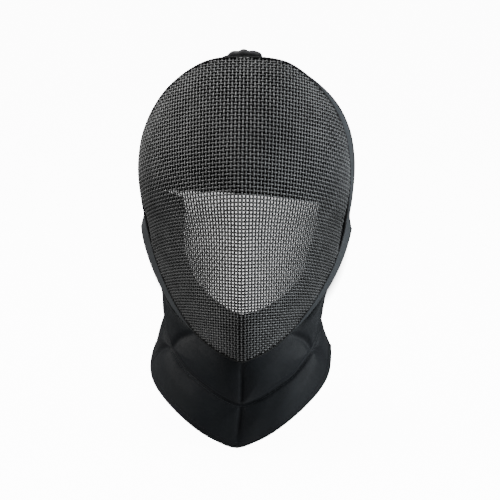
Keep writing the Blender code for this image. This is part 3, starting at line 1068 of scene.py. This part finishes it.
class MASK_OT_pads(bpy.types.Operator):
    """Forehead, cheek and chin pads inside the dome, which frame the clear part of the mesh"""

    bl_idname = "fencing_mask.pads"
    bl_label = "Padding"

    def execute(self, context):
        settings = context.scene.mask_padding
        finish = padded_cloth("pad_lining", settings.color, 0.85, 500.0, 0.05)

        def brow_outer(share):
            return seat_point(FOREHEAD_END * (1.0 - 2.0 * share), FOREHEAD_INSET)

        def brow_inner(share):
            seat = brow_outer(share)
            curve = (seat.x / RIM_HALF_WIDTH) ** 2
            return Vector((FOREHEAD_TAPER * seat.x, curve * (seat.y + PAD_PLANE) - PAD_PLANE,
                           window_top(seat.x)))

        pad_piece("brow_pad", "forehead_pad", brow_outer, brow_inner, finish, settings)
        for name, node, side in (("left_cheek_pad", "cheek_pad_left", -1.0),
                                 ("right_cheek_pad", "cheek_pad_right", 1.0)):
            start = cheek_start(side) - CHEEK_OVERLAP

            def cheek_outer(share, side=side, start=start):
                return seat_point(side * (start + share * (CHIN_START - start)), CHEEK_INSET)

            def cheek_inner(share, side=side):
                edge = window_point(share * CHIN_WINDOW, side)
                gap = PAD_GAP if side < 0.0 else 0.0
                edge.z = min(edge.z, window_top(edge.x) - gap)
                return edge

            pad_piece(name, node, cheek_outer, cheek_inner, finish, settings)

        def chin_outer(share):
            turn = 2.0 * share - 1.0
            side = math.copysign(1.0, turn)
            return seat_point(side * (1.0 - abs(turn) * (1.0 - CHIN_START)), CHIN_INSET)

        def chin_inner(share):
            turn = 2.0 * share - 1.0
            return window_point(1.0 - abs(turn) * (1.0 - CHIN_WINDOW), math.copysign(1.0, turn))

        pad_piece("lower_pad", "chin_pad", chin_outer, chin_inner, finish, settings)
        columns, spans = 240, len(LINING_REACHES) + 1
        lines = [lining_strip(place) for place in around(columns)]

        def strip_place(across, down):
            line = lines[round(across * columns) % columns]
            step = min(int(down * spans), spans - 1)
            return line[step].lerp(line[step + 1], down * spans - step)

        body = surface_grid(columns, 2 * spans, strip_place)
        strip = finish_mesh("mesh_lining", body, finish, join=True,
                            outward=lambda point: point - Vector((0.0, 0.03, DOME_MIDDLE)))
        wall(strip, 0.0008)
        declare(strip, "lining")
        return {"FINISHED"}


class MASK_OT_tongue(bpy.types.Operator):
    """Padded spring tongue from the crown over the back of the head"""

    bl_idname = "fencing_mask.tongue"
    bl_label = "Back Tongue"

    half_width = 0.027
    reach = 0.118
    drop = 0.115
    sweep = math.radians(88.0)

    def execute(self, context):
        settings = context.scene.mask_padding
        start = band_point(0.0, 1.0) + Vector((0.0, 2.0 * FIT_GAP, 0.0))

        def place(across, down):
            side = 2.0 * across - 1.0
            angle = self.sweep * down
            swell = 0.75 + 0.25 * down
            puff = 0.0008 * (1.0 - side ** 4) * abs(math.sin(6.0 * math.pi * down))
            return start + Vector((side * swell * self.half_width,
                                   math.sin(angle) * (self.reach + puff),
                                   puff - (1.0 - math.cos(angle)) * self.drop
                                   - 0.10 * self.half_width * side * side))

        body = surface_grid(24, 72, place)
        finish = padded_cloth("tongue_cloth", settings.color, 0.8, 600.0, 0.08)
        tongue = finish_mesh("padded_tongue", body, finish,
                             outward=lambda point: Vector((0.0, 1.0, 1.0)))
        wall(tongue, settings.tongue_thickness)
        round_edges(tongue, 0.3 * settings.tongue_thickness)
        declare(tongue, "lining", "back_tongue")
        return {"FINISHED"}


# ---- stage


def area_light(name, place, aim, size, power, color):
    """Soft rectangular light that looks at its aim."""
    lamp = bpy.data.lights.new(name, "AREA")
    lamp.shape = "RECTANGLE"
    lamp.size, lamp.size_y = size
    lamp.energy = power
    lamp.color = color
    holder = link(bpy.data.objects.new(name, lamp))
    holder.location = place
    holder.rotation_mode = "QUATERNION"
    holder.rotation_quaternion = (Vector(aim) - Vector(place)).to_track_quat("-Z", "Y")


class MASK_OT_stage(bpy.types.Operator):
    """Pale floor and surround, soft light and the camera"""

    bl_idname = "fencing_mask.stage"
    bl_label = "Stage"

    def execute(self, context):
        settings = context.scene.mask_stage
        low = cad_low.z - 0.002
        self.set_camera(context, settings)
        eye = context.scene.camera.matrix_world.translation
        # Floor and surround glow evenly, apart from a painted shadow behind the mask, seen from the
        # camera's place.
        finish = pale_paper_painted_shadow("pale_paper_painted_shadow", settings.surround, eye, eye.z - low, settings.shade)
        body = bmesh.new()
        bmesh.ops.create_grid(body, x_segments=8, y_segments=8, size=40.0)
        bmesh.ops.translate(body, verts=body.verts, vec=(0.0, 0.0, low))
        floor = finish_mesh("pale_floor", body, finish)
        body = bmesh.new()
        bmesh.ops.create_icosphere(body, subdivisions=4, radius=38.0)
        sky = finish_mesh("pale_surround", body, finish, outward=lambda point: -point)
        for surface in (floor, sky):
            surface.visible_diffuse = False
            surface.visible_glossy = False
            surface.visible_shadow = False
        world = bpy.data.worlds.new("pale_world")
        world.use_nodes = True
        background = world.node_tree.nodes["Background"].inputs
        background["Color"].default_value = (1.0, 1.0, 1.0, 1.0)
        background["Strength"].default_value = settings.ambient
        context.scene.world = world
        side_size = (0.8, 1.2)
        for name, place, size, power, color in (
                ("key", (-0.15, -0.30, 1.30), (0.6, 0.5), settings.key_power, (1.0, 1.0, 1.0)),
                ("left", (-1.2, -0.10, 0.35), side_size, 1.3 * settings.side_power,
                 (1.0, 0.99, 0.97)),
                ("right", (1.2, -0.25, 0.05), side_size, 1.7 * settings.side_power,
                 (0.90, 0.96, 1.0)),
                ("low_fill", (0.1, -0.7, -1.2), (1.0, 0.6), settings.fill_power,
                 (0.97, 0.99, 1.0))):
            area_light(name, place, settings.aim, size, power, color)
        return {"FINISHED"}

    def set_camera(self, context, settings):
        """Camera at the distance, turn, elevation and roll of the settings."""
        turn, elevation, roll = settings.turn, settings.elevation, settings.roll
        ahead = Vector((-math.sin(turn) * math.cos(elevation), math.cos(turn) * math.cos(elevation),
                        -math.sin(elevation)))
        level = Vector((math.cos(turn), math.sin(turn), 0.0))
        upright = level.cross(ahead)
        right = level * math.cos(roll) + upright * math.sin(roll)
        up = upright * math.cos(roll) - level * math.sin(roll)
        camera = bpy.data.cameras.new("photo_camera")
        camera.lens = settings.lens
        camera.sensor_width = 36.0
        camera.clip_start, camera.clip_end = 0.05, 50.0
        holder = link(bpy.data.objects.new("photo_camera", camera))
        axes = Matrix((right, up, -ahead)).transposed().to_4x4()
        place = Vector(settings.aim) - ahead * settings.distance
        holder.matrix_world = Matrix.Translation(place) @ axes
        context.scene.camera = holder


class MASK_PT_panel(bpy.types.Panel):
    """Pieces of the mask and their settings"""

    bl_idname = "MASK_PT_panel"
    bl_label = "Fencing Mask"
    bl_space_type = "VIEW_3D"
    bl_region_type = "UI"
    bl_category = "Fencing Mask"

    def draw(self, context):
        for attribute, group in SETTINGS:
            box = self.layout.box()
            settings = getattr(context.scene, attribute)
            for name in group.__annotations__:
                box.prop(settings, name)
        for operator in OPERATORS:
            self.layout.operator(operator.bl_idname)


SETTINGS = (
    ("mask_wire", WireSettings),
    ("mask_trim", TrimSettings),
    ("mask_bib", BibSettings),
    ("mask_padding", PaddingSettings),
    ("mask_stage", StageSettings),
)
OPERATORS = (
    MASK_OT_wire_mesh,
    MASK_OT_piping,
    MASK_OT_band,
    MASK_OT_crown_tab,
    MASK_OT_bib,
    MASK_OT_binding,
    MASK_OT_pads,
    MASK_OT_tongue,
    MASK_OT_stage,
)


def register():
    for attribute, group in SETTINGS:
        bpy.utils.register_class(group)
        setattr(bpy.types.Scene, attribute, bpy.props.PointerProperty(type=group))
    for operator in OPERATORS:
        bpy.utils.register_class(operator)
    bpy.utils.register_class(MASK_PT_panel)


def unregister():
    bpy.utils.unregister_class(MASK_PT_panel)
    for operator in reversed(OPERATORS):
        bpy.utils.unregister_class(operator)
    for attribute, group in reversed(SETTINGS):
        delattr(bpy.types.Scene, attribute)
        bpy.utils.unregister_class(group)


def main():
    register()
    bpy.ops.fencing_mask.wire_mesh()
    bpy.ops.fencing_mask.piping()
    bpy.ops.fencing_mask.band()
    bpy.ops.fencing_mask.crown_tab()
    bpy.ops.fencing_mask.bib()
    bpy.ops.fencing_mask.binding()
    bpy.ops.fencing_mask.pads()
    bpy.ops.fencing_mask.tongue()
    bpy.ops.fencing_mask.stage()


if __name__ == "__main__":
    main()
